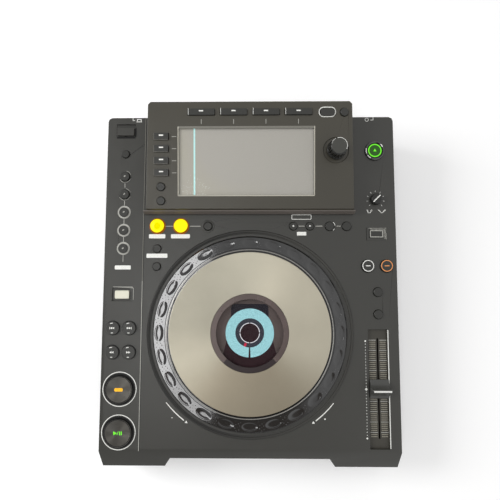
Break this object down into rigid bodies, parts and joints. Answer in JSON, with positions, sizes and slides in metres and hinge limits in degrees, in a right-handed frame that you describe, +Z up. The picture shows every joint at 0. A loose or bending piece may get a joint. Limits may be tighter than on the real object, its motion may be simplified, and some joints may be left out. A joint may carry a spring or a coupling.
{
  "type": "tabletop disc player",
  "caption": "Wedge-shaped tabletop player for discs with a big jog wheel, tilted screen housing, tempo fader and sprung buttons.",
  "frame": {"origin": "middle of the footprint, on the surface that the feet stand on", "axes": "+X to the player's right seen from the front, +Y from the front to the rear, +Z up"},
  "size_m": [0.306, 0.3714, 0.1099],
  "materials": {
    "bearing_plastic": "black moulding",
    "board_green": "circuit board",
    "cap_plastic": "dark cap with a white line",
    "case_plastic": "dark grey moulded plastic, fine grain",
    "dark_button": "dark cap",
    "drive_steel": "plated sheet",
    "fader_plastic": "dark grey scale plate",
    "foot_rubber": "black rubber",
    "housing_plastic": "satin dark warm grey",
    "jog_glass": "tinted window",
    "knob_plastic": "fluted dark knob",
    "loop_button": "lit yellow cap",
    "pale_key": "pale lit key",
    "panel_plastic": "satin dark warm grey",
    "plate_metal": "brushed champagne grey",
    "ring_gloss": "glossy black",
    "screen_module": "light warm grey screen",
    "screen_window": "clear window",
    "screw_steel": "blackened steel",
    "shaft_steel": "turned steel",
    "start_button": "spun dark metal"
  },
  "bodies": {
    "player_case": {"lower_case": "case_plastic", "slot_plate": "case_plastic", "rear_plate": "case_plastic", "stick_socket": "drive_steel", "control_panel": "panel_plastic", "display_housing": "housing_plastic", "display_window": "screen_window", "lcd_module": "screen_module", "jog_bearing": "bearing_plastic", "fader_body": "fader_plastic", "disc_drive": "drive_steel", "main_board": "board_green", "rubber_feet": "foot_rubber", "case_screws": "screw_steel"},
    "usb_stop_button": {"usb_stop_button": "dark_button"},
    "track_back_button": {"track_back_button": "dark_button"},
    "track_next_button": {"track_next_button": "dark_button"},
    "search_back_button": {"search_back_button": "dark_button"},
    "search_forward_button": {"search_forward_button": "dark_button"},
    "cue_button": {"cue_button": "start_button"},
    "play_button": {"play_button": "start_button"},
    "loop_in_button": {"loop_in_button": "loop_button"},
    "loop_out_button": {"loop_out_button": "loop_button"},
    "reloop_button": {"reloop_button": "dark_button"},
    "four_beat_button": {"four_beat_button": "dark_button"},
    "slip_button": {"slip_button": "dark_button"},
    "call_back_button": {"call_back_button": "dark_button"},
    "call_next_button": {"call_next_button": "dark_button"},
    "delete_button": {"delete_button": "dark_button"},
    "memory_button": {"memory_button": "dark_button"},
    "eject_button": {"eject_button": "dark_button"},
    "sync_button": {"sync_button": "dark_button"},
    "master_button": {"master_button": "dark_button"},
    "tempo_range_button": {"tempo_range_button": "dark_button"},
    "master_tempo_button": {"master_tempo_button": "dark_button"},
    "beat_button_1": {"beat_button_1": "dark_button"},
    "beat_button_2": {"beat_button_2": "dark_button"},
    "beat_button_3": {"beat_button_3": "dark_button"},
    "beat_button_4": {"beat_button_4": "dark_button"},
    "beat_button_5": {"beat_button_5": "dark_button"},
    "reverse_button": {"reverse_button": "pale_key"},
    "jog_mode_button": {"jog_mode_button": "dark_button"},
    "tag_button": {"tag_button": "dark_button"},
    "time_mode_button": {"time_mode_button": "dark_button"},
    "quantize_button": {"quantize_button": "dark_button"},
    "back_button": {"back_button": "dark_button"},
    "top_key_1": {"top_key_1": "dark_button"},
    "top_key_2": {"top_key_2": "dark_button"},
    "top_key_3": {"top_key_3": "dark_button"},
    "top_key_4": {"top_key_4": "dark_button"},
    "source_key_1": {"source_key_1": "dark_button"},
    "source_key_2": {"source_key_2": "dark_button"},
    "source_key_3": {"source_key_3": "dark_button"},
    "source_key_4": {"source_key_4": "dark_button"},
    "jog_wheel": {"jog_ring": "ring_gloss", "jog_plate": "plate_metal", "jog_window": "jog_glass"},
    "selector_shaft": {"selector_plunger": "shaft_steel"},
    "selector_dial": {"selector_knob": "knob_plastic"},
    "speed_dial": {"speed_knob": "knob_plastic"},
    "tempo_cap": {"tempo_fader_cap": "cap_plastic"},
    "stick_cover": {"usb_cover": "panel_plastic"},
    "power_switch": {"power_button": "dark_button"}
  },
  "joints": [
    {"name": "usb_stop_button_press", "type": "slide", "parent": "player_case", "child": "usb_stop_button", "axis": [0, 0.0523, -0.9986], "range_m": [0, 0.001], "stiffness_N_per_m": 1200},
    {"name": "track_back_button_press", "type": "slide", "parent": "player_case", "child": "track_back_button", "axis": [0, 0.0523, -0.9986], "range_m": [0, 0.001], "stiffness_N_per_m": 1200},
    {"name": "track_next_button_press", "type": "slide", "parent": "player_case", "child": "track_next_button", "axis": [0, 0.0523, -0.9986], "range_m": [0, 0.001], "stiffness_N_per_m": 1200},
    {"name": "search_back_button_press", "type": "slide", "parent": "player_case", "child": "search_back_button", "axis": [0, 0.0523, -0.9986], "range_m": [0, 0.001], "stiffness_N_per_m": 1200},
    {"name": "search_forward_button_press", "type": "slide", "parent": "player_case", "child": "search_forward_button", "axis": [0, 0.0523, -0.9986], "range_m": [0, 0.001], "stiffness_N_per_m": 1200},
    {"name": "cue_button_press", "type": "slide", "parent": "player_case", "child": "cue_button", "axis": [0, 0.0523, -0.9986], "range_m": [0, 0.001], "stiffness_N_per_m": 1200},
    {"name": "play_button_press", "type": "slide", "parent": "player_case", "child": "play_button", "axis": [0, 0.0523, -0.9986], "range_m": [0, 0.001], "stiffness_N_per_m": 1200},
    {"name": "loop_in_button_press", "type": "slide", "parent": "player_case", "child": "loop_in_button", "axis": [0, 0.0523, -0.9986], "range_m": [0, 0.001], "stiffness_N_per_m": 1200},
    {"name": "loop_out_button_press", "type": "slide", "parent": "player_case", "child": "loop_out_button", "axis": [0, 0.0523, -0.9986], "range_m": [0, 0.001], "stiffness_N_per_m": 1200},
    {"name": "reloop_button_press", "type": "slide", "parent": "player_case", "child": "reloop_button", "axis": [0, 0.0523, -0.9986], "range_m": [0, 0.001], "stiffness_N_per_m": 1200},
    {"name": "four_beat_button_press", "type": "slide", "parent": "player_case", "child": "four_beat_button", "axis": [0, 0.0523, -0.9986], "range_m": [0, 0.001], "stiffness_N_per_m": 1200},
    {"name": "slip_button_press", "type": "slide", "parent": "player_case", "child": "slip_button", "axis": [0, 0.0523, -0.9986], "range_m": [0, 0.001], "stiffness_N_per_m": 1200},
    {"name": "call_back_button_press", "type": "slide", "parent": "player_case", "child": "call_back_button", "axis": [0, 0.0523, -0.9986], "range_m": [0, 0.001], "stiffness_N_per_m": 1200},
    {"name": "call_next_button_press", "type": "slide", "parent": "player_case", "child": "call_next_button", "axis": [0, 0.0523, -0.9986], "range_m": [0, 0.001], "stiffness_N_per_m": 1200},
    {"name": "delete_button_press", "type": "slide", "parent": "player_case", "child": "delete_button", "axis": [0, 0.0523, -0.9986], "range_m": [0, 0.001], "stiffness_N_per_m": 1200},
    {"name": "memory_button_press", "type": "slide", "parent": "player_case", "child": "memory_button", "axis": [0, 0.0523, -0.9986], "range_m": [0, 0.001], "stiffness_N_per_m": 1200},
    {"name": "eject_button_press", "type": "slide", "parent": "player_case", "child": "eject_button", "axis": [0, 0.0523, -0.9986], "range_m": [0, 0.001], "stiffness_N_per_m": 1200},
    {"name": "sync_button_press", "type": "slide", "parent": "player_case", "child": "sync_button", "axis": [0, 0.0523, -0.9986], "range_m": [0, 0.001], "stiffness_N_per_m": 1200},
    {"name": "master_button_press", "type": "slide", "parent": "player_case", "child": "master_button", "axis": [0, 0.0523, -0.9986], "range_m": [0, 0.001], "stiffness_N_per_m": 1200},
    {"name": "tempo_range_button_press", "type": "slide", "parent": "player_case", "child": "tempo_range_button", "axis": [0, 0.0523, -0.9986], "range_m": [0, 0.001], "stiffness_N_per_m": 1200},
    {"name": "master_tempo_button_press", "type": "slide", "parent": "player_case", "child": "master_tempo_button", "axis": [0, 0.0523, -0.9986], "range_m": [0, 0.001], "stiffness_N_per_m": 1200},
    {"name": "beat_button_1_press", "type": "slide", "parent": "player_case", "child": "beat_button_1", "axis": [0, 0.0523, -0.9986], "range_m": [0, 0.001], "stiffness_N_per_m": 1200},
    {"name": "beat_button_2_press", "type": "slide", "parent": "player_case", "child": "beat_button_2", "axis": [0, 0.0523, -0.9986], "range_m": [0, 0.001], "stiffness_N_per_m": 1200},
    {"name": "beat_button_3_press", "type": "slide", "parent": "player_case", "child": "beat_button_3", "axis": [0, 0.0523, -0.9986], "range_m": [0, 0.001], "stiffness_N_per_m": 1200},
    {"name": "beat_button_4_press", "type": "slide", "parent": "player_case", "child": "beat_button_4", "axis": [0, 0.0523, -0.9986], "range_m": [0, 0.001], "stiffness_N_per_m": 1200},
    {"name": "beat_button_5_press", "type": "slide", "parent": "player_case", "child": "beat_button_5", "axis": [0, 0.0523, -0.9986], "range_m": [0, 0.001], "stiffness_N_per_m": 1200},
    {"name": "reverse_button_press", "type": "slide", "parent": "player_case", "child": "reverse_button", "axis": [0, 0.0523, -0.9986], "range_m": [0, 0.001], "stiffness_N_per_m": 1200},
    {"name": "jog_mode_button_press", "type": "slide", "parent": "player_case", "child": "jog_mode_button", "axis": [0, 0.0523, -0.9986], "range_m": [0, 0.001], "stiffness_N_per_m": 1200},
    {"name": "tag_button_press", "type": "slide", "parent": "player_case", "child": "tag_button", "axis": [0, 0.1564, -0.9877], "range_m": [0, 0.001], "stiffness_N_per_m": 1200},
    {"name": "time_mode_button_press", "type": "slide", "parent": "player_case", "child": "time_mode_button", "axis": [0, 0.1564, -0.9877], "range_m": [0, 0.001], "stiffness_N_per_m": 1200},
    {"name": "quantize_button_press", "type": "slide", "parent": "player_case", "child": "quantize_button", "axis": [0, 0.1564, -0.9877], "range_m": [0, 0.001], "stiffness_N_per_m": 1200},
    {"name": "back_button_press", "type": "slide", "parent": "player_case", "child": "back_button", "axis": [0, 0.1564, -0.9877], "range_m": [0, 0.001], "stiffness_N_per_m": 1200},
    {"name": "top_key_1_press", "type": "slide", "parent": "player_case", "child": "top_key_1", "axis": [0, 0.1564, -0.9877], "range_m": [0, 0.001], "stiffness_N_per_m": 1200},
    {"name": "top_key_2_press", "type": "slide", "parent": "player_case", "child": "top_key_2", "axis": [0, 0.1564, -0.9877], "range_m": [0, 0.001], "stiffness_N_per_m": 1200},
    {"name": "top_key_3_press", "type": "slide", "parent": "player_case", "child": "top_key_3", "axis": [0, 0.1564, -0.9877], "range_m": [0, 0.001], "stiffness_N_per_m": 1200},
    {"name": "top_key_4_press", "type": "slide", "parent": "player_case", "child": "top_key_4", "axis": [0, 0.1564, -0.9877], "range_m": [0, 0.001], "stiffness_N_per_m": 1200},
    {"name": "source_key_1_press", "type": "slide", "parent": "player_case", "child": "source_key_1", "axis": [0, 0.1564, -0.9877], "range_m": [0, 0.001], "stiffness_N_per_m": 1200},
    {"name": "source_key_2_press", "type": "slide", "parent": "player_case", "child": "source_key_2", "axis": [0, 0.1564, -0.9877], "range_m": [0, 0.001], "stiffness_N_per_m": 1200},
    {"name": "source_key_3_press", "type": "slide", "parent": "player_case", "child": "source_key_3", "axis": [0, 0.1564, -0.9877], "range_m": [0, 0.001], "stiffness_N_per_m": 1200},
    {"name": "source_key_4_press", "type": "slide", "parent": "player_case", "child": "source_key_4", "axis": [0, 0.1564, -0.9877], "range_m": [0, 0.001], "stiffness_N_per_m": 1200},
    {"name": "jog_spin", "type": "hinge", "parent": "player_case", "child": "jog_wheel", "pos_m": [0, -0.05059, 0.06223], "axis": [0, -0.0523, 0.9986], "continuous": true},
    {"name": "selector_push", "type": "slide", "parent": "player_case", "child": "selector_shaft", "axis": [0, 0.1564, -0.9877], "range_m": [0, 0.0008], "stiffness_N_per_m": 1200},
    {"name": "selector_turn", "type": "hinge", "parent": "selector_shaft", "child": "selector_dial", "pos_m": [0.0886, 0.13508, 0.09005], "axis": [0, -0.1564, 0.9877], "continuous": true},
    {"name": "speed_turn", "type": "hinge", "parent": "player_case", "child": "speed_dial", "pos_m": [0.1325, 0.08832, 0.06951], "axis": [0, -0.0523, 0.9986], "range_deg": [-150, 150]},
    {"name": "tempo_slide", "type": "slide", "parent": "player_case", "child": "tempo_cap", "axis": [0, 0.9986, 0.0523], "range_m": [-0.048, 0.048]},
    {"name": "cover_hinge", "type": "hinge", "parent": "player_case", "child": "stick_cover", "pos_m": [-0.1333, 0.16938, 0.07245], "axis": [-1, 0, 0], "range_deg": [0, 100]},
    {"name": "power_press", "type": "slide", "parent": "player_case", "child": "power_switch", "axis": [0, -1, 0], "range_m": [0, 0.002], "stiffness_N_per_m": 1200}
  ]
}
